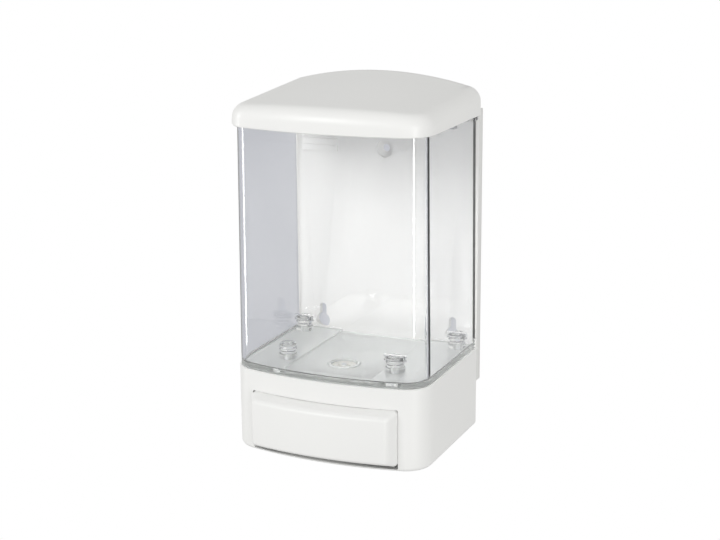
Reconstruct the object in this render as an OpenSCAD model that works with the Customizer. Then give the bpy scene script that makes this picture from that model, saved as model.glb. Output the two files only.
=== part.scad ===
// Wall mounted soap dispenser: clear bulk tank, lift-off lid, base housing with a push bar,
// and a horizontal piston pump under the tank, all hung on a screwed wall plate.
// +Z is up, +X is right as seen from the front, the wall is the plane y = 0 and the front faces -Y.
// The origin is the centre of the top screw hole where it meets the wall.
// Inside the modules, heights are measured up from the underside of the housing.

/* [Overall] */
// Width of the housing and of the wall plate
body_w = 114; // [105:1:140]
// Depth from the wall to the middle of the housing's front
body_d = 95; // [90:1:115]
// How far the front bows out over the half width
front_bow = 8.2; // [5:0.2:10]
// Radius of the front corners in plan
corner_r = 15.4; // [13:0.2:18]
// Height of the tank above the housing's rim
tank_h = 138.5; // [110:0.5:170]

/* [Wall plate] */
// Depth of the plate's rim from the wall
plate_d = 6; // [5.5:0.5:8]
// Height of the plate's lower edge above the underside
plate_z = 24; // [22:0.5:26]
// Thickness of the plate's rim
plate_wall = 2.2; // [1.8:0.1:2.6]
// Thickness of the plate's front panel
panel_t = 1.8; // [1.6:0.1:1.9]
// How deep the panel sits behind the rim's front edge
panel_recess = 2; // [1.6:0.1:2.2]
// Distance of the top screw hole below the tank's rim
top_hole_drop = 26.5; // [25:0.5:40]
// Radius of the screw head's pocket in the top hole
top_pocket_r = 5.2; // [4.8:0.1:6]
// Radius of the top screw hole
top_hole_r = 2.3; // [2:0.1:2.6]
// Distance between the two keyholes
keyhole_gap = 80; // [70:1:84]
// Height of the keyholes' round entries above the underside
keyhole_z = 52.5; // [50:0.5:58]
// Radius of the keyholes' round entries
keyhole_r = 4.4; // [4:0.1:5]
// Width of the keyholes' slots
slot_w = 4.4; // [3.6:0.1:5]
// Rise of the keyholes' slots above the round entries
slot_rise = 8.3; // [7:0.1:10]

/* [Housing] */
// Height of the base housing
housing_h = 46.5; // [46:0.5:52]
// Wall thickness of the housing
housing_wall = 2.4; // [2:0.1:2.8]
// Thickness of the housing's floor
housing_floor = 2.2; // [2:0.1:2.6]
// Radius of the hole around the nozzle
nozzle_hole_r = 9; // [8.5:0.1:10]

/* [Tank] */
// Wall thickness of the tank
tank_wall = 2.4; // [2:0.1:3]
// Step in from the housing's side to the tank's wall at the rim
tank_step = 0.8; // [0.5:0.1:1.5]
// Further step in at the tank's top, which gives the draft
tank_draft = 1.2; // [0.5:0.1:1.6]
// Thickness of the tank's floor
tank_floor = 2.5; // [2:0.1:3]
// How far the floor's middle channel is sunk
channel_drop = 1.2; // [0.8:0.1:1.5]
// Width of the floor's middle channel
channel_w = 52; // [46:1:54]
// Radius of the four screw posts
post_r = 5; // [4.6:0.1:5.2]
// Height of the posts above the tank's floor
post_rise = 8.5; // [7:0.5:12]
// Sideways place of the front posts
front_post_x = 32; // [30:0.5:33]
// Distance of the front posts from the wall
front_post_y = 67.5; // [66:0.5:69]
// Sideways place of the back posts
back_post_x = 47; // [46:0.5:48]
// Distance of the back posts from the wall
back_post_y = 16; // [15:0.5:17]
// Distance of the outlet from the wall
outlet_y = 63; // [62:0.5:64]
// Radius of the outlet socket in the floor
outlet_r = 7.5; // [7.3:0.1:9]

/* [Lid] */
// How far the lid's skirt overlaps the tank's rim
lid_overlap = 4.2; // [3.2:0.2:5]
// How far the lid stands out past the tank's rim
lid_over = 2.8; // [2.7:0.1:4]
// Wall thickness of the lid
lid_wall = 2.4; // [2:0.1:2.5]
// Height of the lid's front corners above the tank's rim
crown_edge = 5.9; // [5.5:0.1:10]
// Rise of the lid's top from its sides to its middle, at the back
crown_h = 8.3; // [6:0.1:14]
// The same rise at the front
front_crown = 2.8; // [1.6:0.1:5]
// Rise of the lid's sides from the front to the back
lid_rise = 4; // [1:0.2:6]
// Radius of the lid's shoulder
shoulder_r = 8.4; // [6.4:0.2:8.8]

/* [Push bar] */
// Width of the push bar
bar_w = 86; // [82:1:88]
// Height of the push bar's lower edge
bar_z = 6; // [5:0.5:7]
// Height of the push bar
bar_h = 29; // [28:0.5:30]
// How far the bar stands out of the housing
bar_out = 8; // [6:0.5:9]
// Wall thickness of the push bar
bar_wall = 2.5; // [2.2:0.1:2.8]
// Distance of the bar's pivot below the housing's rim
pivot_drop = 8; // [7.7:0.1:8.5]
// Radius of the pivot rod
rod_r = 1.5; // [1.4:0.05:1.8]

/* [Pump] */
// Height of the pump's axis
pump_z = 18; // [17.6:0.1:18.4]
// Radius of the pump's bore
bore_r = 7; // [6.6:0.1:8.4]
// Wall thickness of the pump's barrel
barrel_wall = 2; // [1.8:0.1:2.2]
// Radius of the plunger's rod
plunger_r = 3; // [2.6:0.1:3.4]
// Radius of the spring's coil, to the middle of the wire
coil_r = 5.2; // [4.8:0.1:5.6]
// Radius of the spring's wire
wire_r = 0.45; // [0.35:0.05:0.6]
// Turns in the spring
coil_turns = 7; // [5:1:8]

/* [Fits] */
// Running clearance around the pivot rod and the plunger's rod
running_gap = 0.05; // [0.02:0.01:0.09]
// Clearance between pieces that only sit together
seat_gap = 0.2; // [0.15:0.05:0.25]
// Clearance around pieces that move past each other
free_gap = 0.4; // [0.3:0.05:0.5]
// Radius of the small screws' shanks
screw_r = 1.4; // [1.3:0.05:1.5]

/* [Hidden] */
$fn = 64;
eps = 0.01;
far = 200;

// Plan outline shared by the housing, the tank, the lid and the bar
half_w = body_w / 2;
bow_r = (half_w * half_w + front_bow * front_bow) / (2 * front_bow);
bow_cy = bow_r - body_d;
corner_x = half_w - corner_r;
corner_y = bow_cy - sqrt(pow(bow_r - corner_r, 2) - corner_x * corner_x);
corner_a = atan2(corner_y - bow_cy, corner_x);

// Heights that the tank and the wall plate share
tank_top = housing_h + tank_h;
top_hole_z = tank_top - top_hole_drop;

// Wall plate
plate_top = tank_top - 1;
panel_front = plate_d - panel_recess;
panel_back = panel_front - panel_t;
plate_chamfer = 3;
boss_edge = 2.6;
pocket_floor = 1.6;
rest_x = 29;
rest_w = 22;
rest_drop = 0.8;
rest_h = 3.6;
lift = 6.5;
lock_x = 28;
lock_w = 14;
lock_t = 2;
lock_tail = 5.5;
tail_t = 1.5;
lock_h = lift + lock_t + 1.1;
lock_z = plate_top - plate_wall - lock_h - 0.2;
hook_x = 34;
hook_w = 10;
hook_z = 27;
hook_t = 4;
hook_tip = 2.2;
hook_up = 3.5;

// Housing
housing_back = plate_d + 0.1;
rear_wall_h = 19;
bar_slot_y = body_d - 15;
lip_w = 3;
lip_h = 1.4;
pivot_z = housing_h - pivot_drop;
housing_screw_x = 40;
housing_screw_y = 24;
head_r = 3.2;
head_h = 1.8;
pad_r = 5.6;
pad_h = 4.4;
ear_w = 3.5;

// Tank
tank_back = housing_back + seat_gap;
tongue_h = 3.5;
tongue_wall = 2;
floor_top = housing_h + tank_floor;
channel_top = floor_top - channel_drop;
bracket_top = housing_h - 8.5;
spigot_wall = 2.5;
spigot_z = bracket_top + 1.5;
tail_y = 0.3 - panel_back;
lug_w = 8;
lug_h = 2;
lug_y = 10;

// Lid
lid_z = tank_top - lid_overlap;
lid_back = housing_back;
plug_wall = 1.6;
plug_drop = 3;
crown_z = tank_top + crown_edge;
lid_grow = lid_over - tank_step - tank_draft;
lid_half = half_w + lid_grow;

// Pump bracket
bracket_t = 2.5;
bracket_z = bracket_top - bracket_t;
bracket_half = back_post_x + 6;
bracket_neck = front_post_x + 6;
bracket_front = front_post_y + 8.5;
bracket_step = 30;
flange_back = tank_back;
flange_t = 2;
flange_z = 20;
leg_r = 4;

// Push bar and pivot
bar_top = bar_z + bar_h;
bar_half = bar_w / 2;
slot_half = bar_half + free_gap;
pivot_y = body_d - 13;
arm_r = rod_r + 2;
arm_w = 4;
arm_back = 3;
side_back = body_d - 9;
lower_back = body_d - 3.5;
press_angle = 15;

// Pump, along Y; each value is a distance from the wall
barrel_r = bore_r + barrel_wall;
nut_r = barrel_r + 1.8;
port_r = 2.5;
stroke_room = port_r + 0.5;
arm_drop = pivot_z - pump_z;
nose_r = 3;
nose_y = pivot_y + 11.3;
nose_face = nose_y - nose_r;
stroke = arm_drop * sin(press_angle) + (nose_y - pivot_y) * (1 - cos(press_angle));
piston_h = 6;
piston_back = outlet_y + stroke_room + stroke;
piston_front = piston_back + piston_h;
guide_t = 3;
barrel_front = piston_front + 0.3;
guide_front = barrel_front + guide_t;
guide_skirt = 5;
head_t = 2.5;
plunger_head_r = 6;
plunger_head = nose_face - 0.3;
barrel_back = 44;
seal_t = 0.8;
cap_t = 2.2;
cap_skirt = 3;
cap_plug = 2;
groove_w = 2.6;
groove_r = 4.8;
spring_front = piston_back - 0.1;
spring_back = barrel_back + cap_plug + 0.1;

// Pump neck, valves and nozzle
neck_r = outlet_r - 0.5;
neck_bore = 5;
neck_top = channel_top - 0.8;
ring_z = neck_top - 3.5;
ring_r = 0.73;
drain_y = 58;
drain_r = 2;
drain_neck_r = 5.5;
drain_z = 4.5;
nozzle_r = 7.3;
nozzle_z = 0.6;
nozzle_top = min(8, pump_z - barrel_r - seat_gap);
nozzle_bore = 3.2;
valve_flange = 1;
seat_t = 2.5;

posts = [
  for (s = [-1, 1])
    for (p = [[front_post_x, front_post_y], [back_post_x, back_post_y]])
      [s * p[0], -p[1]]
];

// Lifts the object so that the origin is the top screw hole
module place() {
  translate([0, 0, -top_hole_z])
    children();
}

// A block given by its two opposite corners
module block(low, high) {
  translate(low)
    cube(high - low);
}

// A bar along X, between two x values, at a distance from the wall and a height
module rod_x(r, x0, x1, y, z) {
  translate([x0, -y, z])
    rotate([0, 90, 0])
      cylinder(r = r, h = x1 - x0);
}

// A cylinder along Y, from the distance y0 to the larger distance y1 from the wall
module rod_y(r, y0, y1, z = pump_z) {
  translate([0, -y0, z])
    rotate([90, 0, 0])
      cylinder(r = r, h = y1 - y0);
}

// A ring of round section around the Y axis of the pump
module ring_y(outer, inner, y0, y1) {
  difference() {
    rod_y(outer, y0, y1);
    rod_y(inner, y0 - 1, y1 + 1);
  }
}

// Both sides of the object
module both_sides() {
  children();
  mirror([1, 0, 0])
    children();
}

// Bowed front, round front corners and straight sides, back to a distance from the wall
module plan_outline(grow, back) {
  intersection() {
    translate([0, bow_cy])
      circle(r = bow_r + grow, $fn = 360);
    polygon([[0, bow_cy], 1.4 * [-corner_x, corner_y - bow_cy] + [0, bow_cy],
             1.4 * [corner_x, corner_y - bow_cy] + [0, bow_cy]]);
    translate([-far, corner_y - far])
      square([2 * far, far + eps]);
  }
  for (s = [-1, 1])
    translate([s * corner_x, corner_y])
      circle(r = corner_r + grow);
  translate([-(half_w + grow), corner_y])
    square([2 * (half_w + grow), -corner_y - back]);
}

// The plan outline raised between two heights
module plan_block(grow, back, low, high) {
  translate([0, 0, low])
    linear_extrude(height = high - low)
      plan_outline(grow, back);
}

// A screw that points up, with its head's underside at the height z
module screw(x, y, z, length) {
  translate([x, y, z - head_h])
    difference() {
      union() {
        cylinder(r = head_r, h = head_h);
        cylinder(r = screw_r, h = head_h + length);
      }
      translate([-0.4, -2, -eps])
        cube([0.8, 4, 0.9]);
      translate([-2, -0.4, -eps])
        cube([4, 0.8, 0.9]);
    }
}

// Keyhole: round entry below, narrow slot above
module keyhole(x) {
  translate([x, 1, keyhole_z])
    rotate([90, 0, 0]) {
      cylinder(r = keyhole_r, h = plate_d);
      translate([-slot_w / 2, 0, 0])
        cube([slot_w, slot_rise, plate_d]);
      translate([0, slot_rise, 0])
        cylinder(r = slot_w / 2, h = plate_d);
    }
}

// Outline of the wall plate with its lower corners cut off
module plate_outline(inset) {
  w = half_w - inset;
  low = plate_z + inset;
  high = plate_top - inset;
  polygon([[-w + plate_chamfer, low], [w - plate_chamfer, low], [w, low + plate_chamfer],
           [w, high], [-w, high], [-w, low + plate_chamfer]]);
}

// The wall plate's outline between two distances from the wall
module plate_slab(inset, y0, y1) {
  translate([0, -y0, 0])
    rotate([90, 0, 0])
      linear_extrude(height = y1 - y0)
        plate_outline(inset);
}

// Tray with a recessed panel, screw bosses that reach the wall, and hooks for the dispenser
module back_plate() {
  boss_w = keyhole_r + boss_edge;
  color("white")
    place()
      difference() {
        union() {
          difference() {
            plate_slab(0, 0, plate_d);
            plate_slab(plate_wall, -1, panel_back);
            plate_slab(plate_wall, panel_front, plate_d + 1);
          }
          translate([0, 0, top_hole_z])
            rotate([90, 0, 0])
              cylinder(r = top_pocket_r + boss_edge, h = panel_front);
          both_sides() {
            block([keyhole_gap / 2 - boss_w, -panel_front, keyhole_z - boss_w],
                  [keyhole_gap / 2 + boss_w, 0, keyhole_z + slot_rise + boss_w]);
            block([hook_x, -flange_back - flange_t - 0.3 - hook_tip, hook_z],
                  [hook_x + hook_w, -panel_back, hook_z + hook_t]);
            block([hook_x, -flange_back - flange_t - 0.3 - hook_tip, hook_z],
                  [hook_x + hook_w, -flange_back - flange_t - 0.3, hook_z + hook_t + hook_up]);
          }
          block([-rest_x - rest_w, -plate_d, top_hole_z - rest_h],
                [-rest_x, -panel_back, top_hole_z]);
          block([-rest_x - rest_w, -plate_d + rest_drop, top_hole_z],
                [-rest_x, -panel_back, top_hole_z + rest_h]);
        }
        translate([0, -pocket_floor, top_hole_z])
          rotate([90, 0, 0])
            cylinder(r = top_pocket_r, h = plate_d);
        translate([0, 1, top_hole_z])
          rotate([90, 0, 0])
            cylinder(r = top_hole_r, h = plate_d);
        keyhole(-keyhole_gap / 2);
        keyhole(keyhole_gap / 2);
        both_sides()
          block([lock_x, -plate_d, lock_z], [lock_x + lock_w, 1, lock_z + lock_h]);
      }
}

// Cover around the pump, open above and at the front for the bar
module housing() {
  color("white")
    place()
      difference() {
        union() {
          difference() {
            plan_block(0, housing_back, 0, housing_h);
            plan_block(-housing_wall, housing_back + housing_floor, housing_floor, housing_h + 1);
            plan_block(-housing_wall, housing_back - 1, rear_wall_h, housing_h + 1);
            block([-slot_half, -far, lip_h], [slot_half, -bar_slot_y, bar_top + free_gap]);
            intersection() {
              plan_block(-lip_w, 0, -1, lip_h + 1);
              block([-slot_half, -far, -1], [slot_half, -bar_slot_y, lip_h + 1]);
            }
          }
          intersection() {
            plan_block(-housing_wall / 2, housing_back, 0, housing_h - tongue_h - 0.5);
            both_sides()
              block([bar_half + 1, -body_d, pivot_z - 4.5],
                    [bar_half + 1 + ear_w, -pivot_y + 4.5, pivot_z + 4]);
          }
          both_sides()
            translate([housing_screw_x, -housing_screw_y, 0])
              cylinder(r = pad_r, h = pad_h);
        }
        rod_x(rod_r, -bar_half - 1 - ear_w + 1, bar_half + 1 + ear_w - 1, pivot_y, pivot_z);
        translate([0, -drain_y, -1])
          cylinder(r = nozzle_hole_r, h = housing_floor + 2);
        both_sides()
          translate([housing_screw_x, -housing_screw_y, 0]) {
            translate([0, 0, -1])
              cylinder(r = screw_r + 0.5, h = pad_h + 2);
            translate([0, 0, -1])
              cylinder(r = head_r + 0.4, h = head_h + 1 + 0.4);
          }
      }
}

// The tank's tapered form, grown outward by grow
module tank_form(grow, back, low) {
  hull() {
    plan_block(grow - tank_step, back, low, low + 0.1);
    plan_block(grow - tank_step - tank_draft, back, tank_top - 0.1, tank_top);
  }
}

// Clear open-topped tank with its floor, screw posts, outlet socket and rear hooks
module tank() {
  color([0.86, 0.92, 0.93, 0.35])
    place()
      difference() {
        union() {
          difference() {
            tank_form(0, tank_back, housing_h);
            translate([0, 0, tank_floor])
              tank_form(-tank_wall, tank_back + tank_wall, housing_h);
            translate([0, 0, tank_h])
              plan_block(0, 0, housing_h, housing_h + 20);
          }
          difference() {
            plan_block(-housing_wall - seat_gap, tank_back, housing_h - tongue_h, housing_h + eps);
            plan_block(-housing_wall - seat_gap - tongue_wall, tank_back + tank_wall,
                       housing_h - tongue_h - 1, housing_h + 1);
          }
          block([-channel_w / 2 - 2, -body_d + 12, channel_top - tank_floor],
                [channel_w / 2 + 2, -tank_back - tank_wall / 2, housing_h + eps]);
          for (p = posts)
            translate([p[0], p[1], bracket_top])
              cylinder(r = post_r, h = floor_top + post_rise - bracket_top);
          translate([0, -outlet_y, spigot_z])
            cylinder(r = outlet_r + spigot_wall, h = housing_h - spigot_z);
          both_sides() {
            block([lock_x + 1, -tank_back - tank_wall / 2, lock_z + seat_gap],
                  [lock_x + lock_w - 1, tail_y + tail_t, lock_z + seat_gap + lock_t]);
            block([lock_x + 1, tail_y, lock_z - lock_tail],
                  [lock_x + lock_w - 1, tail_y + tail_t, lock_z + seat_gap + lock_t]);
            block([half_w - tank_step - tank_draft - 1, -tank_back - lug_y, lid_z - seat_gap - lug_h],
                  [half_w + 0.2, -tank_back - lug_y + lug_w, lid_z - seat_gap]);
          }
        }
        block([-channel_w / 2, -body_d + 10, channel_top],
              [channel_w / 2, -tank_back - tank_wall, floor_top + eps]);
        translate([0, -outlet_y, spigot_z - 1])
          cylinder(r = outlet_r, h = floor_top);
        for (p = posts)
          translate([p[0], p[1], bracket_top - 1])
            cylinder(r = screw_r + running_gap, h = 14);
      }
}

// Height of the lid's outer crown, which is low at the front and arched at the back
function crown(x, y) =
  let (v = (y + body_d + lid_grow) / (body_d + lid_grow - lid_back))
    crown_z + lid_rise * v
    + (front_crown + (crown_h - front_crown) * v) * (1 - pow(x / lid_half, 2));

// Points along the middle of the lid's shoulder, from the left side round to the right
function shoulder_path(grow) = concat(
  [for (i = [0:5]) let (a = corner_a * i / 5)
    [-corner_x - (corner_r + grow) * cos(a), corner_y + (corner_r + grow) * sin(a)]],
  [for (i = [-5:5]) let (a = (90 + corner_a) * i / 6)
    [(bow_r + grow) * sin(a), bow_cy - (bow_r + grow) * cos(a)]],
  [for (i = [5:-1:0]) let (a = corner_a * i / 5)
    [corner_x + (corner_r + grow) * cos(a), corner_y + (corner_r + grow) * sin(a)]],
  [for (i = [-4:4]) [(half_w + grow) * i / 4, 5]]
);

// Pillow shape of the lid, taken in by inset
module lid_form(inset) {
  intersection() {
    hull() {
      for (p = shoulder_path(lid_grow - shoulder_r))
        translate([p[0], p[1], crown(p[0], p[1]) - shoulder_r])
          sphere(r = shoulder_r - inset, $fn = 32);
      plan_block(lid_grow - inset, -5, lid_z, lid_z + 1);
    }
    block([-far, -far, lid_z], [far, far, far * 2]);
  }
}

// Lift-off cover with an inner plug wall that centres it in the tank
module lid() {
  plug = tank_step + tank_draft + tank_wall + free_gap;
  color("white")
    place()
      difference() {
        union() {
          difference() {
            lid_form(0);
            difference() {
              translate([0, 0, -eps])
                lid_form(lid_wall);
              block([-far, -lid_back - lid_wall, lid_z - 1], [far, far, far * 2]);
            }
            block([-lid_half + lid_wall, -lid_back - lid_wall - 2, lid_z - 1],
                  [lid_half - lid_wall, 0, tank_top + seat_gap]);
          }
          intersection() {
            lid_form(lid_wall / 2);
            difference() {
              plan_block(-plug, tank_back + tank_wall + free_gap, tank_top - plug_drop, far * 2);
              plan_block(-plug - plug_wall, tank_back + tank_wall + free_gap + plug_wall,
                         tank_top - plug_drop - 1, far * 2);
            }
          }
        }
        block([-far, -lid_back, 0], [far, far, far * 2]);
      }
}

// Outline of the bar, from its bowed face back to a distance from the wall
module bar_outline(inset, back) {
  intersection() {
    plan_outline(bar_out - inset, 0);
    translate([-bar_half + inset, -far])
      square([2 * (bar_half - inset), far - back]);
  }
}

// Hollow bowed bar with two pivot arms and a nose that meets the plunger
module push_bar() {
  color("white")
    place()
      difference() {
        union() {
          difference() {
            translate([0, 0, bar_z])
              linear_extrude(height = bar_h)
                bar_outline(0, side_back);
            translate([0, 0, bar_z + bar_wall])
              linear_extrude(height = bar_h - 2 * bar_wall)
                bar_outline(bar_wall, side_back - 1);
            block([-bar_half + bar_wall, -lower_back, bar_z - 1],
                  [bar_half - bar_wall, -side_back + 1, bar_z + bar_wall + 1]);
          }
          both_sides() {
            block([bar_half - arm_w, -side_back - 1, bar_top - bar_wall - 3],
                  [bar_half, -pivot_y + arm_back, bar_top]);
            block([bar_half - arm_w, -pivot_y - arm_r, bar_top - bar_wall],
                  [bar_half, -pivot_y + arm_back, pivot_z]);
            rod_x(arm_r, bar_half - arm_w, bar_half, pivot_y, pivot_z);
          }
          intersection() {
            plan_block(bar_out - bar_wall / 2, 0, 0, housing_h);
            block([-4, -far, pump_z - nose_r], [4, -nose_y, pump_z + nose_r]);
          }
          rod_x(nose_r, -4, 4, nose_y, pump_z);
        }
        rod_x(rod_r + running_gap, -bar_half - 1, bar_half + 1, pivot_y, pivot_z);
      }
}

// Steel rod that the bar swings on, held in the housing's ears
module pivot_rod() {
  end = bar_half + ear_w;
  color("silver")
    place()
      rod_x(rod_r, -end, end, pivot_y, pivot_z);
}

// Plate under the tank that carries the pump and hangs on the wall plate's hooks
module pump_bracket() {
  color("gainsboro")
    place()
      difference() {
        union() {
          block([-bracket_half, -bracket_step, bracket_z], [bracket_half, -flange_back, bracket_top]);
          block([-bracket_neck, -bracket_front, bracket_z], [bracket_neck, -flange_back, bracket_top]);
          block([-bracket_half, -flange_back - flange_t, flange_z],
                [bracket_half, -flange_back, bracket_top]);
          both_sides()
            translate([housing_screw_x, -housing_screw_y, pad_h])
              cylinder(r = leg_r, h = bracket_z - pad_h + eps);
        }
        both_sides() {
          block([hook_x - free_gap, -flange_back - flange_t - 1, flange_z - 1],
                [hook_x + hook_w + free_gap, 0, hook_z + hook_t + seat_gap]);
          translate([housing_screw_x, -housing_screw_y, pad_h - 1])
            cylinder(r = screw_r + running_gap, h = 14);
        }
        for (p = posts)
          translate([p[0], p[1], bracket_z - 1])
            cylinder(r = screw_r + 0.5, h = bracket_t + 2);
        translate([0, -outlet_y, bracket_z - 1])
          cylinder(r = neck_r + free_gap, h = bracket_t + 2);
        block([-neck_r - free_gap, -bracket_front - 1, bracket_z - 1],
              [neck_r + free_gap, -outlet_y, bracket_top + 1]);
      }
}

// Four screws that hold the bracket against the tank's posts
module bracket_screws() {
  color("silver")
    place()
      for (p = posts)
        screw(p[0], p[1], bracket_z, 14);
}

// Two screws that hold the housing under the bracket's legs
module housing_screws() {
  color("silver")
    place()
      both_sides()
        screw(housing_screw_x, -housing_screw_y, head_h + 0.4, 13);
}

// Barrel along Y with an inlet neck up into the tank and an outlet neck below
module pump_body() {
  color("whitesmoke")
    place()
      difference() {
        union() {
          rod_y(barrel_r, barrel_back, barrel_front);
          translate([0, -outlet_y, pump_z])
            cylinder(r = neck_r, h = neck_top - pump_z);
          translate([0, -outlet_y, bracket_top])
            cylinder(r = outlet_r + spigot_wall, h = spigot_z - bracket_top - seat_gap);
          translate([0, -drain_y, drain_z])
            cylinder(r = drain_neck_r, h = pump_z - drain_z);
        }
        rod_y(bore_r, barrel_back - 1, barrel_front + 1);
        translate([0, -outlet_y, pump_z + barrel_r - 0.4])
          cylinder(r = neck_bore, h = neck_top);
        translate([0, -outlet_y, pump_z])
          cylinder(r = port_r, h = neck_top);
        translate([0, -drain_y, 0])
          cylinder(r = drain_r, h = pump_z);
        translate([0, -outlet_y, ring_z - 1])
          difference() {
            cylinder(r = neck_r + 1, h = 2);
            translate([0, 0, -1])
              cylinder(r = neck_r - 1, h = 4);
          }
      }
}

// Screwed ring that closes the barrel's mouth and guides the plunger
module front_guide() {
  color("whitesmoke")
    place()
      difference() {
        rod_y(nut_r, barrel_front - guide_skirt, guide_front);
        rod_y(barrel_r + running_gap, barrel_front - guide_skirt - 1, barrel_front);
        rod_y(plunger_r + running_gap, barrel_front - 1, guide_front + 1);
      }
}

// Plunger with a flat head in front and a grooved piston behind
module plunger() {
  seal_mid = (piston_back + piston_front) / 2;
  color("white")
    place()
      difference() {
        union() {
          rod_y(plunger_head_r, plunger_head - head_t, plunger_head);
          rod_y(plunger_r, piston_front - 1, plunger_head - head_t / 2);
          rod_y(bore_r - free_gap, piston_back, piston_front);
        }
        ring_y(bore_r + 1, groove_r, seal_mid - groove_w / 2, seal_mid + groove_w / 2);
      }
}

// Sliding seal in the piston's groove
module piston_seal() {
  seal_mid = (piston_back + piston_front) / 2;
  half = groove_w / 2 - 0.05;
  color("dimgray")
    place()
      ring_y(bore_r - running_gap, groove_r + 0.02, seal_mid - half, seal_mid + half);
}

// Return spring between the piston and the end cap
module pump_spring() {
  sides = 8;
  steps = 18 * coil_turns;
  rise = spring_front - spring_back - 2 * wire_r;
  points = [
    for (i = [0:steps])
      let (a = 360 * coil_turns * i / steps)
        for (j = [0:sides - 1])
          let (b = 360 * j / sides, r = coil_r + wire_r * cos(b))
            [r * cos(a), r * sin(a), wire_r + rise * i / steps + wire_r * sin(b)]
  ];
  faces = concat(
    [[for (j = [0:sides - 1]) j]],
    [[for (j = [sides - 1:-1:0]) steps * sides + j]],
    [for (i = [0:steps - 1])
      for (j = [0:sides - 1])
        [i * sides + j, (i + 1) * sides + j, i * sides + (j + 1) % sides]],
    [for (i = [0:steps - 1])
      for (j = [0:sides - 1])
        [(i + 1) * sides + j, (i + 1) * sides + (j + 1) % sides, i * sides + (j + 1) % sides]]
  );
  color("silver")
    place()
      translate([0, -spring_back, pump_z])
        rotate([90, 0, 0])
          polyhedron(points = points, faces = faces);
}

// Cap that closes the barrel's back end and seats the spring
module pump_end_cap() {
  inner = barrel_back - seal_t;
  color("whitesmoke")
    place() {
      difference() {
        rod_y(nut_r, inner - cap_t, barrel_back + cap_skirt);
        rod_y(barrel_r + running_gap, inner, barrel_back + cap_skirt + 1);
      }
      rod_y(bore_r - seat_gap, inner - 1, barrel_back + cap_plug);
    }
}

// Flat seal between the barrel's back end and its cap
module end_cap_seal() {
  color("dimgray")
    place()
      ring_y(barrel_r, bore_r, barrel_back - seal_t, barrel_back);
}

// O-ring between the pump's neck and the tank's outlet socket
module neck_o_ring() {
  color("dimgray")
    place()
      translate([0, -outlet_y, ring_z])
        rotate_extrude()
          translate([neck_r - 1 + ring_r + 0.02, 0])
            circle(r = ring_r, $fn = 24);
}

// Disc with holes at the top of the neck, which the inlet valve closes from below
module inlet_valve_seat() {
  color("whitesmoke")
    place()
      translate([0, -outlet_y, neck_top - seat_t])
        difference() {
          cylinder(r = neck_bore, h = seat_t);
          translate([0, 0, -1])
            cylinder(r = 0.9, h = seat_t + 2);
          for (i = [0:5])
            rotate(60 * i)
              translate([3, 0, -1])
                cylinder(r = 0.8, h = seat_t + 2);
        }
}

// Umbrella valve: its stem passes through the seat and its disc lies under the holes
module inlet_valve() {
  color([0.8, 0.8, 0.8])
    place()
      translate([0, -outlet_y, neck_top]) {
        translate([0, 0, -seat_t - 1])
          cylinder(r = 4.3, h = 1);
        translate([0, 0, -seat_t - 0.5])
          cylinder(r = 0.85, h = seat_t + 1);
        cylinder(r = 1.4, h = 0.7);
      }
}

// Duckbill valve clamped under the outlet neck
module outlet_valve() {
  color([0.8, 0.8, 0.8])
    place()
      translate([0, -drain_y, 0])
        difference() {
          union() {
            translate([0, 0, drain_z - valve_flange])
              cylinder(r = drain_neck_r - seat_gap, h = valve_flange);
            translate([0, 0, nozzle_z + 0.6])
              cylinder(r1 = 1.6, r2 = nozzle_bore - 0.4, h = drain_z - valve_flange - nozzle_z - 0.6);
          }
          translate([0, 0, nozzle_z + 1.8])
            cylinder(r = 1.2, h = drain_z);
          block([-1.2, -0.15, 0], [1.2, 0.15, drain_z]);
        }
}

// Cap that holds the duckbill valve and lets the soap out
module outlet_nozzle() {
  color("white")
    place()
      translate([0, -drain_y, nozzle_z])
        difference() {
          cylinder(r = nozzle_r, h = nozzle_top - nozzle_z);
          translate([0, 0, drain_z - valve_flange - nozzle_z])
            cylinder(r = drain_neck_r + running_gap, h = 10);
          translate([0, 0, -1])
            cylinder(r = nozzle_bore, h = 10);
        }
}

back_plate();
housing();
tank();
lid();
push_bar();
pivot_rod();
pump_bracket();
bracket_screws();
housing_screws();
pump_body();
front_guide();
plunger();
piston_seal();
pump_spring();
pump_end_cap();
end_cap_seal();
neck_o_ring();
inlet_valve_seat();
inlet_valve();
outlet_valve();
outlet_nozzle();
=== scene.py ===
import math

import bmesh
import bpy
from mathutils import Matrix, Vector


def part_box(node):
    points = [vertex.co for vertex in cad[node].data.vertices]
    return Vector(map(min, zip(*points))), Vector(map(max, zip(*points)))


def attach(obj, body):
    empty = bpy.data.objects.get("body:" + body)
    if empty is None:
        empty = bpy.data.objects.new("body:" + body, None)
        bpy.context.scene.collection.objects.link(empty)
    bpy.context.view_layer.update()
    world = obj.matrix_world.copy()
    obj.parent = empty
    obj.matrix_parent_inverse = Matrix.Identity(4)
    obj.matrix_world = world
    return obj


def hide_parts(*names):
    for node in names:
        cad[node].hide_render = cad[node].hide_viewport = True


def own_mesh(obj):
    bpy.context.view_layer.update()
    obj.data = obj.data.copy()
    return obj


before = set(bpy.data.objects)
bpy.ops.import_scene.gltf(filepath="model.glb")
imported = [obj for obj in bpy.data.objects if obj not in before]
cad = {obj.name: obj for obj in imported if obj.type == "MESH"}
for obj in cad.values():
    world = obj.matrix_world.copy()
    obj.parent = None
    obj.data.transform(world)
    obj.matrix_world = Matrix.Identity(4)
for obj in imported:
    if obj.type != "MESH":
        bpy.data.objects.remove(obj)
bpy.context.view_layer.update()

# Pieces are modelled in millimetres above the housing's underside, then put in the row frame
MM = 0.001
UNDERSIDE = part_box("housing")[0].z
PLACE = Matrix.Translation((0, 0, UNDERSIDE)) @ Matrix.Scale(MM, 4)

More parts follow.
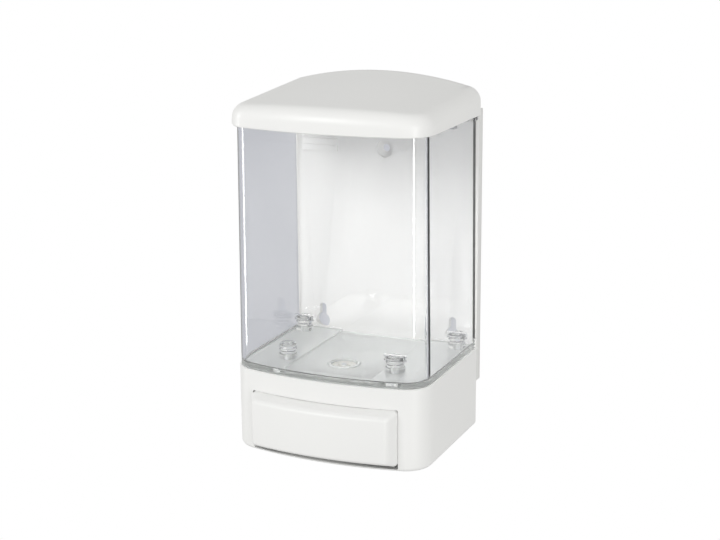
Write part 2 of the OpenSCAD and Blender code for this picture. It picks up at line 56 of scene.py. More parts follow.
# Plan outline that the housing, the tank, the lid and the bar share
HALF_W, DEPTH, BOW, CORNER = 57.0, 95.0, 8.2, 15.4
BOW_R = (HALF_W**2 + BOW**2) / (2 * BOW)
BOW_Y = BOW_R - DEPTH
BACK = 6.1

# Points on each side, corner, front and rear of that outline
SIDE_STEPS, CORNER_STEPS, FRONT_STEPS, REAR_STEPS = 5, 16, 36, 20

# Heights of the housing's rim and the tank's top
RIM_Z, TANK_TOP = 46.5, 185.0

# Places that pieces share: the nozzle, the tank's outlet, the housing's screws and the bar's rod
NOZZLE_Y, OUTLET_Y = -58, -63
SCREW_X, SCREW_Y = 40, -24
ROD_Y, ROD_Z, ROD_HOLE_R = -82, 38.5, 1.55
SIDES = (-1, 1)

# ---------------------------------------------------------------- camera
EYE = Vector((0.3399, -0.8070, 0.1585))
AIM = Vector((0.0040, -0.0500, -0.0602))
ROLL = math.radians(-0.446)
LENS = 77.6


def make_camera():
    """Sets the view: a long lens from the right of the front, looking slightly down."""
    data = bpy.data.cameras.new("camera")
    data.lens, data.sensor_width = LENS, 36
    data.clip_start, data.clip_end = 0.05, 30
    eye = bpy.data.objects.new("camera", data)
    bpy.context.scene.collection.objects.link(eye)
    ahead = (AIM - EYE).normalized()
    right = ahead.cross(Vector((0, 0, 1))).normalized()
    up = right.cross(ahead)
    c, s = math.cos(ROLL), math.sin(ROLL)
    right, up = c * right + s * up, c * up - s * right
    turn = Matrix((right, up, -ahead)).transposed()
    eye.matrix_world = Matrix.Translation(EYE) @ turn.to_4x4()
    bpy.context.scene.camera = eye


make_camera()

# ---------------------------------------------------------------- materials


def linear(code):
    """An sRGB hex value as a linear colour."""
    parts = [int(code[i : i + 2], 16) / 255 for i in (1, 3, 5)]
    return [p / 12.92 if p <= 0.04045 else ((p + 0.055) / 1.055) ** 2.4 for p in parts] + [1]


def add(tree, kind, values=(), feeds=(), **settings):
    """Adds a node, sets its properties and its input values, and links what feeds it."""
    made = tree.nodes.new(kind)
    for key, value in settings.items():
        setattr(made, key, value)
    for key, value in dict(values).items():
        made.inputs[key].default_value = value
    for key, socket in dict(feeds).items():
        tree.links.new(socket, made.inputs[key])
    return made


def blank(name):
    """A material with an empty node tree."""
    made = bpy.data.materials.new(name)
    made.use_nodes = True
    made.node_tree.nodes.clear()
    return made, made.node_tree


def object_noise(t, size_mm, detail):
    """A noise with features of a real size, fixed to the piece."""
    where = add(t, "ShaderNodeTexCoord").outputs["Object"]
    noise = add(t, "ShaderNodeTexNoise", {"Scale": 1 / (size_mm * MM), "Detail": detail}, {"Vector": where})
    return noise.outputs["Fac"]


def ranged(t, value, low, high):
    """A roughness that moves between two values as a noise does."""
    limits = {"From Min": 0.3, "From Max": 0.7, "To Min": low, "To Max": high}
    return add(t, "ShaderNodeMapRange", limits, {"Value": value}).outputs["Result"]


def relief(t, height, strength, depth_mm):
    """A bump of a real depth."""
    values = {"Strength": strength, "Distance": depth_mm * MM}
    return add(t, "ShaderNodeBump", values, {"Height": height}).outputs["Normal"]


def moulded(name, light, dark, rough, grain_mm, depth_mm, cloud_mm):
    """A moulded plastic or rubber: a fine skin, and slow changes of gloss and shade where it filled."""
    made, t = blank(name)
    cloud = object_noise(t, cloud_mm, 2.0)
    grain = object_noise(t, grain_mm, 3.0)
    shade = add(t, "ShaderNodeMix", {6: linear(dark), 7: linear(light)}, {0: cloud}, data_type="RGBA")
    feeds = {
        "Base Color": shade.outputs[2],
        "Roughness": ranged(t, cloud, rough * 0.88, rough * 1.12),
        "Normal": relief(t, grain, 0.35, depth_mm),
    }
    base = add(t, "ShaderNodeBsdfPrincipled", feeds=feeds)
    add(t, "ShaderNodeOutputMaterial", feeds={"Surface": base.outputs["BSDF"]})
    return made


def clear(name, tint, rough, wave_mm, depth_mm, share=1.0):
    """A clear plastic with slow waves where it shrank. Lamps shine through it."""
    made, t = blank(name)
    wave = object_noise(t, wave_mm, 1.0)
    values = {"Base Color": linear(tint), "IOR": SAN_IOR, "Transmission Weight": share}
    gloss = ranged(t, wave, rough * 0.7, rough * 1.3)
    feeds = {"Roughness": gloss, "Normal": relief(t, wave, 0.5, depth_mm)}
    base = add(t, "ShaderNodeBsdfPrincipled", values, feeds)
    open_to_lamps = add(t, "ShaderNodeBsdfTransparent", {"Color": linear("#FCFCFC")})
    ray = add(t, "ShaderNodeLightPath")
    feeds = {0: ray.outputs["Is Shadow Ray"], 1: base.outputs["BSDF"], 2: open_to_lamps.outputs["BSDF"]}
    both = add(t, "ShaderNodeMixShader", feeds=feeds)
    add(t, "ShaderNodeOutputMaterial", feeds={"Surface": both.outputs["Shader"]})
    return made


def drawn_steel(name):
    """Stainless steel rod, wire and screws, with the fine unevenness that drawing leaves."""
    made, t = blank(name)
    lines = object_noise(t, 0.6, 4.0)
    values = {"Base Color": linear("#C9CACB"), "Metallic": 1.0}
    feeds = {"Roughness": ranged(t, lines, 0.2, 0.34), "Normal": relief(t, lines, 0.2, 0.01)}
    base = add(t, "ShaderNodeBsdfPrincipled", values, feeds)
    add(t, "ShaderNodeOutputMaterial", feeds={"Surface": base.outputs["BSDF"]})
    return made


# Refractive index of SAN
SAN_IOR = 1.57

# White ABS moulded in a satin tool: an even soft gloss over a very fine skin
white_abs = moulded("white_abs_moulded_satin", "#EEEEEC", "#EAEAE9", 0.34, 1.1, 0.02, 45)
# White ABS of the wall plate, moulded in a plainer tool, so duller than the covers; its colour is a little
# greyer than theirs as painted shade
plate_abs_painted_shade = moulded("white_abs_plate_painted_shade", "#E4E4E2", "#DEDEDC", 0.42, 1.1, 0.02, 45)
# Clear SAN moulded in a polished tool: glossy and see-through, with slightly wavy reflections
clear_san = clear("clear_san_moulded_polished", "#FFFFFF", 0.02, 30, 0.12)
# Clear SAN where the tool is finely textured: the tank's floor and foot scatter some light and look hazy
hazy_san = clear("clear_san_moulded_fine_texture", "#EEF0EE", 0.12, 8, 0.1, 0.5)
# Grey ABS moulded in a matt tool: a dull, even skin on the hidden bracket
grey_abs = moulded("grey_abs_moulded_matt", "#CFD0D1", "#C8C9CB", 0.5, 1.0, 0.03, 30)
# Natural acetal moulded in a plain tool: a creamy white with a waxy half gloss
acetal = moulded("natural_acetal_moulded", "#E9E8E2", "#E2E1DA", 0.38, 0.9, 0.02, 20)
# Black nitrile rubber moulded under pressure: a dark, matt skin
rubber = moulded("black_nitrile_rubber_moulded", "#1C1C1D", "#161617", 0.6, 0.8, 0.02, 12)
# Silicone moulded without pigment: a milky, soft half gloss
silicone = moulded("translucent_silicone_moulded", "#DADCDC", "#D0D3D3", 0.45, 0.8, 0.02, 10)
# Stainless steel drawn through a die: fine unevenness and a soft sheen
steel = drawn_steel("stainless_steel_drawn")

# ---------------------------------------------------------------- mesh tools


def arc(cx, cy, r, start, end, steps):
    """Points on an arc in plan, the last one left out."""
    turns = [start + (end - start) * i / steps for i in range(steps)]
    return [(cx + r * math.cos(a), cy + r * math.sin(a)) for a in turns]


def line(start, end, steps):
    """Points on a straight line in plan, the last one left out."""
    return [tuple(a + (b - a) * i / steps for a, b in zip(start, end)) for i in range(steps)]


def plan(grow=0.0, back=BACK, turn=CORNER):
    """The plan outline, grown outward: from the rear right round the front to the rear left, and back."""
    w, big = HALF_W + grow, BOW_R + grow
    r = turn + grow
    cx = w - r
    cy = BOW_Y - math.sqrt((big - r) ** 2 - cx**2)
    lean = math.asin(cx / (big - r))
    down = -math.pi / 2
    return (
        line((w, -back), (w, cy), SIDE_STEPS)
        + arc(cx, cy, r, 0, down + lean, CORNER_STEPS)
        + arc(0, BOW_Y, big, down + lean, down - lean, FRONT_STEPS)
        + arc(-cx, cy, r, down - lean, -math.pi, CORNER_STEPS)
        + line((-w, cy), (-w, -back), SIDE_STEPS)
        + line((-w, -back), (w, -back), REAR_STEPS)
    )


def at(points, height):
    """Plan points at a height, which is a number or a function of x and y."""
    return [(x, y, height(x, y) if callable(height) else height) for x, y in points]


def shrunk(points, share, middle_y):
    """Plan points drawn in towards a point on the middle line."""
    return [(x * share, middle_y + (y - middle_y) * share) for x, y in points]


def shell(bm, rings, around=False):
    """A skin drawn from ring to ring. Its two ends are closed, or joined to each other."""
    ring = [bm.verts.new(p) for p in rings[0]]
    edges = first = [bm.edges.new(pair) for pair in zip(ring, ring[1:] + ring[:1])]
    if not around:
        bmesh.ops.contextual_create(bm, geom=edges)
    for points in rings[1:]:
        made = bmesh.ops.extrude_edge_only(bm, edges=edges)["geom"]
        fresh = {v for v in made if isinstance(v, bmesh.types.BMVert)}
        ring = [next(o for o in (e.other_vert(v) for e in v.link_edges) if o in fresh) for v in ring]
        for vert, p in zip(ring, points):
            vert.co = p
        edges = [bm.edges.get(pair) for pair in zip(ring, ring[1:] + ring[:1])]
    if around:
        bmesh.ops.bridge_loops(bm, edges=first + edges)
    else:
        bmesh.ops.contextual_create(bm, geom=edges)


def block(bm, low, high, round_mm=0.0):
    """A block between two corners, with rounded edges if a width is given."""
    size = Vector(high) - Vector(low)
    middle = (Vector(high) + Vector(low)) / 2
    matrix = Matrix.Translation(middle) @ Matrix.Diagonal((*size, 1))
    made = bmesh.ops.create_cube(bm, size=1, matrix=matrix)["verts"]
    if round_mm:
        edges = list({e for v in made for e in v.link_edges})
        bmesh.ops.bevel(
            bm,
            geom=edges,
            offset=round_mm,
            affect="EDGES",
            segments=2,
            profile=0.5,
            material=-1,
            clamp_overlap=True,
        )


def lathe(bm, profile, centre, axis="Z", steps=48):
    """A turned solid: radius and height pairs, spun about a Z or X axis through centre."""
    up, side = Vector((0, 0, 1)), Vector((1, 0, 0))
    ahead, out = (side, up) if axis == "X" else (up, side)
    middle = Vector(centre)
    verts = [bm.verts.new(middle + out * max(r, 0.0) + ahead * h) for r, h in profile]
    edges = [bm.edges.new(pair) for pair in zip(verts, verts[1:])]
    bmesh.ops.spin(
        bm, geom=verts + edges, cent=middle, axis=ahead, angle=2 * math.pi, steps=steps, use_merge=True
    )
    bmesh.ops.remove_doubles(bm, verts=bm.verts[:], dist=1e-4)


def loose(bm):
    """An object made of a bmesh, not yet a piece."""
    bmesh.ops.remove_doubles(bm, verts=bm.verts[:], dist=1e-5)
    bmesh.ops.recalc_face_normals(bm, faces=bm.faces[:])
    mesh = bpy.data.meshes.new("part")
    bm.to_mesh(mesh)
    bm.free()
    made = bpy.data.objects.new("part", mesh)
    bpy.context.scene.collection.objects.link(made)
    return made


def carve(target, how, *makers):
    """Joins to a solid, or cuts from it, the solids that makers build."""
    for maker in makers:
        bm = bmesh.new()
        maker(bm)
        tool = loose(bm)
        change = target.modifiers.new("change", "BOOLEAN")
        change.object, change.operation, change.solver = tool, how, "EXACT"
        settle(target)
        bpy.data.objects.remove(tool)
    return target


def settle(target):
    """Makes a piece's modifiers part of its mesh."""
    graph = bpy.context.evaluated_depsgraph_get()
    mesh = bpy.data.meshes.new_from_object(target.evaluated_get(graph))
    target.modifiers.clear()
    target.data = mesh


def soften(target, width):
    """Rounds the sharp edges, by a width in the mesh's own units."""
    edge = target.modifiers.new("edge", "BEVEL")
    edge.width, edge.segments, edge.limit_method = width, 2, "ANGLE"
    edge.angle_limit = math.radians(35)
    settle(target)


# Edges that turn by more than this stay sharp in the shading
CREASE = math.radians(32)


def finish_piece(target, name, material, body, node, placed=False):
    """Names a piece, puts it in place, shades it, ties it to its body, and hides the CAD node that it
    stands for.
    """
    bm = bmesh.new()
    bm.from_mesh(target.data)
    if not placed:
        bmesh.ops.transform(bm, matrix=PLACE, verts=bm.verts[:])
    for face in bm.faces:
        face.smooth = True
    for edge in bm.edges:
        edge.smooth = edge.calc_face_angle(math.pi) < CREASE
    bm.to_mesh(target.data)
    bm.free()
    target.name = target.data.name = name
    target.data.materials.clear()
    target.data.materials.append(material)
    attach(target, body)
    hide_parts(node)
    return target


# ---------------------------------------------------------------- lid
LID_OVER, LID_WALL, SHOULDER = 0.8, 2.4, 8.4
LID_Z, LID_HALF = 180.8, HALF_W + LID_OVER
LID_FRONT = DEPTH + LID_OVER
CAP_RINGS, SHOULDER_STEPS, CAP_MIDDLE = 16, 12, -50.0

# The lid's top: height at the front corners, rise to the back, arch at the front, and more arch at the back
CROWN_Z, CROWN_RISE, FRONT_ARCH, MORE_ARCH = 190.9, 4.0, 2.8, 5.5


def crown(x, y):
    """Height of the lid's top: low along the front, arched at the back."""
    v = (y + LID_FRONT) / (LID_FRONT - BACK)
    return CROWN_Z + CROWN_RISE * v + (FRONT_ARCH + MORE_ARCH * v) * (1 - (x / LID_HALF) ** 2)


def crown_fall(x, y, ux, uy):
    """Angle at which the lid's top falls away in the direction u."""
    step = 0.01
    rise = crown(x + ux * step, y + uy * step) - crown(x, y)
    return math.atan(-rise / step)


def lid_skin(inset):
    """Rings of the lid's outer or inner skin, from its lower edge up round the shoulder to its middle."""
    r, back = SHOULDER - inset, BACK + inset
    edge = plan(LID_OVER - inset, back)
    path, beyond = plan(LID_OVER - SHOULDER, back), plan(LID_OVER - SHOULDER + 1, back)
    falls = [crown_fall(x, y, bx - x, by - y) for (x, y), (bx, by) in zip(path, beyond)]
    rings = [at(edge, LID_Z + 0.5), at(edge, LID_Z + 1.0)]
    for i in range(SHOULDER_STEPS + 1):
        ring = []
        for (x, y), (bx, by), fall in zip(path, beyond, falls):
            a = (math.pi / 2 - fall) * i / SHOULDER_STEPS
            out = r * math.cos(a)
            drop = SHOULDER / math.cos(fall) - r * math.sin(a)
            near = max(0.0, 1 - max(0.0, drop - inset))
            behind = 1 - math.sqrt(1 - near**2) if by > -back - 0.1 else 0.0
            ring.append((x + (bx - x) * out, y + (by - y) * out - behind, crown(x, y) - drop))
        rings.append(ring)
    last = [(x, y) for x, y, z in rings[-1]]
    for i in range(1, CAP_RINGS):
        rings.append(at(shrunk(last, 1 - i / CAP_RINGS, CAP_MIDDLE), lambda x, y: crown(x, y) - inset))
    return rings


def plug_wall(bm):
    """The wall inside the lid that centres it in the tank."""
    low, high, edge = TANK_TOP - 3, 188.5, 0.4
    inner, outer = plan(-6.4, 10.7), plan(-4.8, 9.1)
    tip_in, tip_out = plan(-6.4 + edge, 10.7 - edge), plan(-4.8 - edge, 9.1 + edge)
    inside = [at(inner, high), at(inner, low + edge), at(tip_in, low)]
    outside = [at(tip_out, low), at(outer, low + edge), at(outer, high)]
    shell(bm, inside + outside, around=True)


def build_lid():
    """A shell with a round shoulder; its lower back is open where the tank's rear wall stands."""
    bm = bmesh.new()
    grow, back = LID_OVER - LID_WALL, BACK + LID_WALL
    rim = [at(plan(grow + 0.5, back - 0.5), LID_Z), at(plan(LID_OVER - 0.5, BACK + 0.5), LID_Z)]
    shell(bm, lid_skin(LID_WALL)[::-1] + rim + lid_skin(0))
    lid = loose(bm)
    low = (-LID_HALF + LID_WALL, -BACK - LID_WALL - 1.5, LID_Z - 1)
    high = (LID_HALF - LID_WALL, 0, TANK_TOP + 0.2)
    carve(lid, "DIFFERENCE", lambda b: block(b, low, high))
    carve(lid, "UNION", plug_wall)
    return finish_piece(lid, "lid_shell", white_abs, "lid_body", "lid")


build_lid()

# ---------------------------------------------------------------- tank
TANK_WALL, FLOOR_Z = 2.4, 49.0
TANK_BACK, TANK_TURN = 6.3, 14.5
TANK_STEP, TANK_DRAFT = 0.8, 1.2
SOCKET_R = 7.5

# Tongue that sits inside the housing: how far in it is, its wall and its depth
TONGUE_IN, TONGUE_WALL, TONGUE_H = 2.6, 2.0, 3.5

# Hooks that lock behind the wall plate: their ends in x, their underside, thickness and tail
HOOK_X, HOOK_Z, HOOK_T, TAIL_Z, TAIL_Y = (29.2, 40.8), 172.2, 2.0, 166.7, -1.9


def tank_grow(z):
    """The tank's taper: how far its outer wall stands from the plan outline."""
    return -TANK_STEP - TANK_DRAFT * (z - RIM_Z) / (TANK_TOP - RIM_Z)


def build_tank():
    """A tapered open tank: its floor has a channel, four posts and a socket, and its back has hooks."""
    bm = bmesh.new()
    foot = 1.6

    def inside(z, inset=0.0):
        return plan(tank_grow(z) - TANK_WALL - inset, TANK_BACK + TANK_WALL + inset, TANK_TURN)

    fillet = []
    for i in range(6):
        a = math.radians(18 * i)
        fillet.append(at(inside(FLOOR_Z, foot * (1 - math.sin(a))), FLOOR_Z + foot * (1 - math.cos(a))))
    steps = [i / 8 for i in range(9)]
    inner_z = [FLOOR_Z + foot + (TANK_TOP - 0.5 - FLOOR_Z - foot) * k for k in steps]
    outer_z = [RIM_Z + 0.3 + (TANK_TOP - RIM_Z - 0.8) * k for k in steps]
    inner = [at(inside(z), z) for z in inner_z]
    outer = [at(plan(tank_grow(z), TANK_BACK), z) for z in outer_z]
    rim = plan(tank_grow(TANK_TOP) - 0.5, TANK_BACK + 0.5)
    top = [at(inside(TANK_TOP, -0.5), TANK_TOP), at(rim, TANK_TOP)]
    tongue, edge = plan(-TONGUE_IN, TANK_BACK), 0.5
    tongue_foot = plan(-TONGUE_IN - edge, TANK_BACK + edge)
    within = plan(-TONGUE_IN - TONGUE_WALL, TANK_BACK + 2.4)
    within_foot = plan(-TONGUE_IN - TONGUE_WALL + edge, TANK_BACK + 1.9)
    under = [
        at(plan(tank_grow(RIM_Z) - 0.3, TANK_BACK + 0.3), RIM_Z),
        at(tongue, RIM_Z),
        at(tongue, RIM_Z - TONGUE_H + edge),
        at(tongue_foot, RIM_Z - TONGUE_H),
        at(within_foot, RIM_Z - TONGUE_H),
        at(within, RIM_Z - TONGUE_H + edge),
        at(within, RIM_Z),
    ]
    shell(bm, fillet + inner + top + outer[::-1] + under)
    tank = loose(bm)
    posts = [(s * x, -y) for s in SIDES for x, y in ((32, 67.5), (47, 16))]

    def under_channel(b):
        block(b, (-28, -83, 45.3), (28, -7.5, 47), 0.4)

    def channel(b):
        block(b, (-26, -85, 47.8), (26, -8.7, 52), 0.5)

    def post(x, y):
        """A hollow post with a round waist and a ringed head."""
        base = [(0, 38), (4.7, 38), (5, 38.3)]
        waist = [(5, 51.4), (4.2, 52), (4.2, 53.6), (4.8, 54.2)]
        head = [(4.8, 56.9), (4.2, 57.5), (2.4, 57.5), (2.0, 56.6), (0, 56.2)]
        return lambda b: lathe(b, base + waist + head, (x, y, 0))

    def notches(b):
        for x, y in posts:
            block(b, (x - 6, y - 0.8, 54.6), (x + 6, y + 0.8, 58), 0.2)
            block(b, (x - 0.8, y - 6, 54.6), (x + 0.8, y + 6, 58), 0.2)

    def socket(b):
        lathe(b, [(0, 39.5), (9.6, 39.5), (10, 39.9), (10, 46), (0, 47)], (0, OUTLET_Y, 0))

    def outlet_ring(b):
        lathe(b, [(0, 46.8), (9.2, 46.8), (9.2, 48.1), (8.8, 48.5), (0, 48.5)], (0, OUTLET_Y, 0), steps=64)

    def fixings(b):
        """Hooks that lock behind the wall plate, and side lugs under the lid."""
        for s in SIDES:
            x0, x1 = sorted(s * x for x in HOOK_X)
            block(b, (x0, -TANK_BACK - 1, HOOK_Z), (x1, -0.6, HOOK_Z + HOOK_T), 0.3)
            block(b, (x0, TAIL_Y, TAIL_Z), (x1, -0.5, HOOK_Z + HOOK_T), 0.3)
            x0, x1 = sorted((s * 54, s * 57.2))
            block(b, (x0, -16.3, LID_Z - 2.2), (x1, -8.3, LID_Z - 0.2), 0.4)

    def holes(b):
        for x, y in posts:
            lathe(b, [(0, 37), (1.45, 37), (1.45, 51), (0, 51.6)], (x, y, 0), steps=24)

    def outlet(b):
        lathe(b, [(0, 38), (SOCKET_R, 38), (SOCKET_R, 55), (0, 55)], (0, OUTLET_Y, 0), steps=64)

    carve(tank, "UNION", under_channel)
    carve(tank, "DIFFERENCE", channel)
    carve(tank, "UNION", socket, outlet_ring, fixings, *(post(x, y) for x, y in posts))
    carve(tank, "DIFFERENCE", outlet, holes, notches)
    made = finish_piece(tank, "tank_shell", clear_san, "dispenser", "tank")
    # The floor and what is below it take the second material
    made.data.materials.append(hazy_san)
    level = UNDERSIDE + (FLOOR_Z + 0.1) * MM
    for face in made.data.polygons:
        face.material_index = int(face.center.z < level)
    return made


build_tank()

# ---------------------------------------------------------------- housing
OPENING_HALF, OPENING_LOW, OPENING_TOP = 43.15, 1.4, 35.05


def rod_hole(far):
    """The hole that the bar's rod passes through, out to a distance on both sides."""
    profile = [(0, -far), (ROD_HOLE_R, -far), (ROD_HOLE_R, far), (0, far)]
    return lambda b: lathe(b, profile, (0, ROD_Y, ROD_Z), "X", 24)


def build_housing():
    """A cover with a rounded foot, open above and at the front, with ears for the bar's rod."""
    bm = bmesh.new()
    wall, floor, r = 2.4, 2.2, 2.6
    outer = [at(plan(-0.5), RIM_Z), at(plan(0), RIM_Z - 0.5), at(plan(0), RIM_Z - 12), at(plan(0), r + 8)]
    for i in range(9):
        a = math.radians(11.25 * i)
        outer.append(at(plan(r * (math.cos(a) - 1), BACK), r * (1 - math.sin(a))))
    inside, rim = plan(-wall, BACK + wall), plan(-wall + 0.4, BACK + wall - 0.4)
    shell(bm, [at(inside, floor), at(inside, RIM_Z - 0.4), at(rim, RIM_Z)] + outer)
    made = loose(bm)

    def opening(b):
        block(b, (-OPENING_HALF, -120, OPENING_LOW), (OPENING_HALF, -80, OPENING_TOP), 0.6)

    def rear_gap(b):
        block(b, (-HALF_W + wall, -9, 19), (HALF_W - wall, 0, 50))

    def nozzle_hole(b):
        lathe(b, [(0, -1), (9, -1), (9, 5), (0, 5)], (0, NOZZLE_Y, 0))

    def pad(side):
        profile = [(0, 0.6), (5.6, 0.6), (5.6, 4.2), (5.4, 4.4), (0, 4.4)]
        return lambda b: lathe(b, profile, (side * SCREW_X, SCREW_Y, 0), steps=40)

    def ear(side):
        x0, x1 = sorted((side * 44, side * 47.5))
        return lambda b: block(b, (x0, -86, 34.2), (x1, -78.5, 42.2), 0.5)

    def web(side):
        """Joins an ear to the housing's wall."""
        x0, x1 = sorted((side * 46, side * 52.8))
        return lambda b: block(b, (x0, -83.5, 35), (x1, -80.5, 41.5), 0.3)

    def recess(side):
        profile = [(0, -1), (3.6, -1), (3.6, 2.2), (1.9, 2.2), (1.9, 5), (0, 5)]
        return lambda b: lathe(b, profile, (side * SCREW_X, SCREW_Y, 0), steps=40)

    carve(made, "DIFFERENCE", opening, rear_gap, nozzle_hole)
    carve(made, "UNION", *(maker(side) for maker in (pad, ear, web) for side in SIDES))
    carve(made, "DIFFERENCE", *(recess(side) for side in SIDES), rod_hole(HALF_W - 5))
    soften(made, 0.25)
    return finish_piece(made, "housing_cover", white_abs, "dispenser", "housing")


build_housing()

# ---------------------------------------------------------------- push bar
BAR_HALF, BAR_OUT, BAR_LOW, BAR_TOP = 43.0, 8.0, 3.6, 34.95
BAR_BACK, BAR_CORNER = 86.0, 3.0

# How far the sides, the top and the underside slope in from the housing to the bar's face
BAR_IN, TOP_FALL, LOW_RISE = 2.4, 2.2, 2.6

# Where the sides leave the housing's opening
BAR_BREAK = -91


def bar_plan(inset, back=BAR_BACK):
    """The bar's outline: a bowed face, rounded corners, sides that spread to the housing, straight rear."""
    w, big = BAR_HALF - BAR_IN - inset, BOW_R + BAR_OUT - inset
    r = max(BAR_CORNER - inset, 0.3)
    cx = w - r
    cy = BOW_Y - math.sqrt((big - r) ** 2 - cx**2)
    lean = math.asin(cx / (big - r))
    down = -math.pi / 2
    points = (
        line((w, -back), (w, BAR_BREAK), 3)
        + line((w, BAR_BREAK), (w, cy), 5)
        + arc(cx, cy, r, 0, down + lean, 8)
        + arc(0, BOW_Y, big, down + lean, down - lean, 30)
        + arc(-cx, cy, r, down - lean, -math.pi, 8)
        + line((-w, cy), (-w, BAR_BREAK), 5)
        + line((-w, BAR_BREAK), (-w, -back), 3)
        + line((-w, -back), (w, -back), 16)
    )
    return [(x * (1 + BAR_IN / w * ahead(x, y)), y) for x, y in points]


def ahead(x, y):
    """How far back a point is on the bar's sloping sides: 0 at its face, 1 at the housing."""
    face = BOW_Y - math.sqrt((BOW_R + BAR_OUT) ** 2 - x**2)
    return min(1.0, max(0.0, (y - face - 1.0) / (BAR_OUT - 2.0)))


def bar_top(x, y):
    """The bar's top, which falls towards its face."""
    return BAR_TOP - TOP_FALL * (1 - ahead(x, y))


def bar_low(x, y):
    """The bar's underside, which rises towards its face."""
    return BAR_LOW + LOW_RISE * (1 - ahead(x, y))


def build_bar():
    """A hollow bar with a rounded face, two arms for the rod, and a nose that pushes the plunger."""
    bm = bmesh.new()
    r, wall, low = 2.4, 2.5, 1.8
    shares = (0.25, 0.55, 0.8)
    rings = [at(shrunk(bar_plan(r), share, -BAR_BACK), bar_top) for share in shares]
    for i in range(9):
        a = math.radians(90 - 11.25 * i)
        drop = r * (1 - math.sin(a))
        rings.append(at(bar_plan(r * (1 - math.cos(a))), lambda x, y: bar_top(x, y) - drop))
    for i in range(7):
        a = math.radians(15 * i)
        rise = low * (1 - math.sin(a))
        rings.append(at(bar_plan(low * (1 - math.cos(a))), lambda x, y: bar_low(x, y) + rise))
    rings += [at(shrunk(bar_plan(low), share, -BAR_BACK), bar_low) for share in reversed(shares)]
    shell(bm, rings)
    bar = loose(bm)

    def hollow(b):
        within = bar_plan(wall, 80)
        upper = at(within, lambda x, y: bar_top(x, y) - wall)
        shell(b, [upper, at(within, lambda x, y: bar_low(x, y) + wall)])

    def open_foot(b):
        half = BAR_HALF - wall
        block(b, (-half, -91.5, BAR_LOW - 3), (half, -80, BAR_LOW + 5))

    def arms(b):
        for s in SIDES:
            x0, x1 = sorted((s * 39, s * BAR_HALF))
            block(b, (x0, -88, 29.5), (x1, -79, 34.8), 0.5)
            block(b, (x0, -85.5, 32.5), (x1, -79, ROD_Z), 0.5)
            lathe(b, [(0, x0), (3.5, x0), (3.5, x1), (0, x1)], (0, ROD_Y, ROD_Z), "X", 32)
        block(b, (-4, -101.3, 15), (4, -93.3, 21), 0.4)
        lathe(b, [(0, -4), (3, -4), (3, 4), (0, 4)], (0, -93.3, 18), "X", 32)

    carve(bar, "DIFFERENCE", hollow, open_foot)
    carve(bar, "UNION", arms)
    carve(bar, "DIFFERENCE", rod_hole(BAR_HALF + 2))
    return finish_piece(bar, "push_bar_shell", white_abs, "bar", "push_bar")


build_bar()

# ---------------------------------------------------------------- wall plate and pieces from the CAD


def rounded_copy(node, width_mm, name, material, body):
    """A copy of a CAD node, with its sharp edges rounded if a width is given."""
    bm = bmesh.new()
    bm.from_mesh(cad[node].data)
    bmesh.ops.remove_doubles(bm, verts=bm.verts[:], dist=1e-6)
    if width_mm:
        bmesh.ops.dissolve_limit(bm, angle_limit=math.radians(1), verts=bm.verts[:], edges=bm.edges[:])
    mesh = bpy.data.meshes.new(name)
    bm.to_mesh(mesh)
    bm.free()
    made = bpy.data.objects.new(name, mesh)
    bpy.context.scene.collection.objects.link(made)
    if width_mm:
        soften(made, width_mm * MM)
    return finish_piece(made, name, material, body, node, placed=True)


rounded_copy("back_plate", 0.35, "wall_plate_tray", plate_abs_painted_shade, "wall_plate")

# The return spring, copied with a mesh of its own; the real spring shortens towards the pump's end cap as
# the plunger comes in
spring = rounded_copy("pump_spring", 0, "return_spring", steel, "dispenser")
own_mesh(spring)

FINISHES = {
    "pump_bracket": grey_abs,
    "pivot_rod": steel,
    "bracket_screws": steel,
    "housing_screws": steel,
    "pump_body": acetal,
    "front_guide": acetal,
    "plunger": acetal,
    "pump_end_cap": acetal,
    "inlet_valve_seat": acetal,
    "piston_seal": rubber,
    "end_cap_seal": rubber,
    "neck_o_ring": rubber,
    "inlet_valve": silicone,
    "outlet_valve": silicone,
    "outlet_nozzle": white_abs,
}
for node, finish in FINISHES.items():
    cad[node].data.materials.clear()
    cad[node].data.materials.append(finish)

# ---------------------------------------------------------------- floor and light


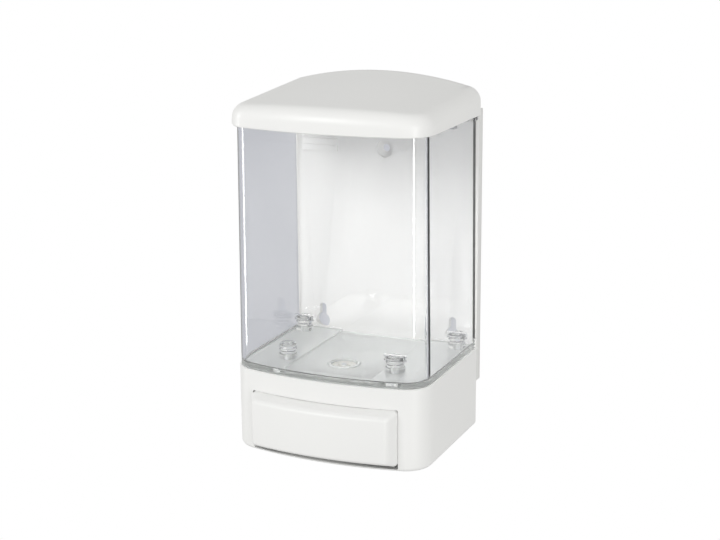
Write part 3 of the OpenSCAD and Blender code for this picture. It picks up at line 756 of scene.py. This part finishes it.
def soft_or_white(t, kind):
    """White to the camera, a pale grey through clear plastic, and a soft even light to all else."""
    ray = add(t, "ShaderNodeLightPath")
    shades = ("#CDCDCC", "#C1C3CA", "#FFFFFF")
    light, through, white = (add(t, kind, {"Color": linear(c), "Strength": 1.0}).outputs[0] for c in shades)
    feeds = {0: ray.outputs["Is Transmission Ray"], 1: light, 2: through}
    unseen = add(t, "ShaderNodeMixShader", feeds=feeds)
    feeds = {0: ray.outputs["Is Camera Ray"], 1: unseen.outputs[0], 2: white}
    return add(t, "ShaderNodeMixShader", feeds=feeds).outputs[0]


# How far below the wall-hung object the floor is
FLOOR_DROP = 0.35


def studio():
    """A pale floor, a soft sky, and large soft lamps."""
    bm = bmesh.new()
    bmesh.ops.create_grid(bm, x_segments=1, y_segments=1, size=6)
    bmesh.ops.translate(bm, verts=bm.verts[:], vec=(0, 0, UNDERSIDE - FLOOR_DROP))
    mesh = bpy.data.meshes.new("floor")
    bm.to_mesh(mesh)
    bm.free()
    floor = bpy.data.objects.new("floor", mesh)
    bpy.context.scene.collection.objects.link(floor)
    made, t = blank("pale_paper")
    out = soft_or_white(t, "ShaderNodeEmission")
    add(t, "ShaderNodeOutputMaterial", feeds={"Surface": out})
    floor.data.materials.append(made)

    world = bpy.data.worlds.new("studio")
    bpy.context.scene.world = world
    world.use_nodes = True
    world.node_tree.nodes.clear()
    out = soft_or_white(world.node_tree, "ShaderNodeBackground")
    add(world.node_tree, "ShaderNodeOutputWorld", feeds={"Surface": out})

    # Each lamp's name, place and size in metres, and power in watts
    for name, place, wide, tall, power in (
        ("key", (-0.7, -1.7, 0.8), 0.8, 0.8, 10.5),
        ("fill", (0.9, -1.7, 0.5), 0.9, 0.9, 1.5),
        ("strip", (1.2, -0.85, 0.05), 0.12, 1.1, 6),
        ("edge", (-1.3, -0.35, 0.05), 0.12, 1.1, 4),
    ):
        data = bpy.data.lights.new(name, "AREA")
        data.shape, data.size, data.size_y, data.energy = "RECTANGLE", wide, tall, power
        lamp = bpy.data.objects.new(name, data)
        bpy.context.scene.collection.objects.link(lamp)
        lamp.location = place
        towards = Vector((0, -0.05, -0.06)) - Vector(place)
        lamp.rotation_euler = towards.to_track_quat("-Z", "Y").to_euler()


studio()
bpy.context.scene.view_settings.view_transform = "Standard"
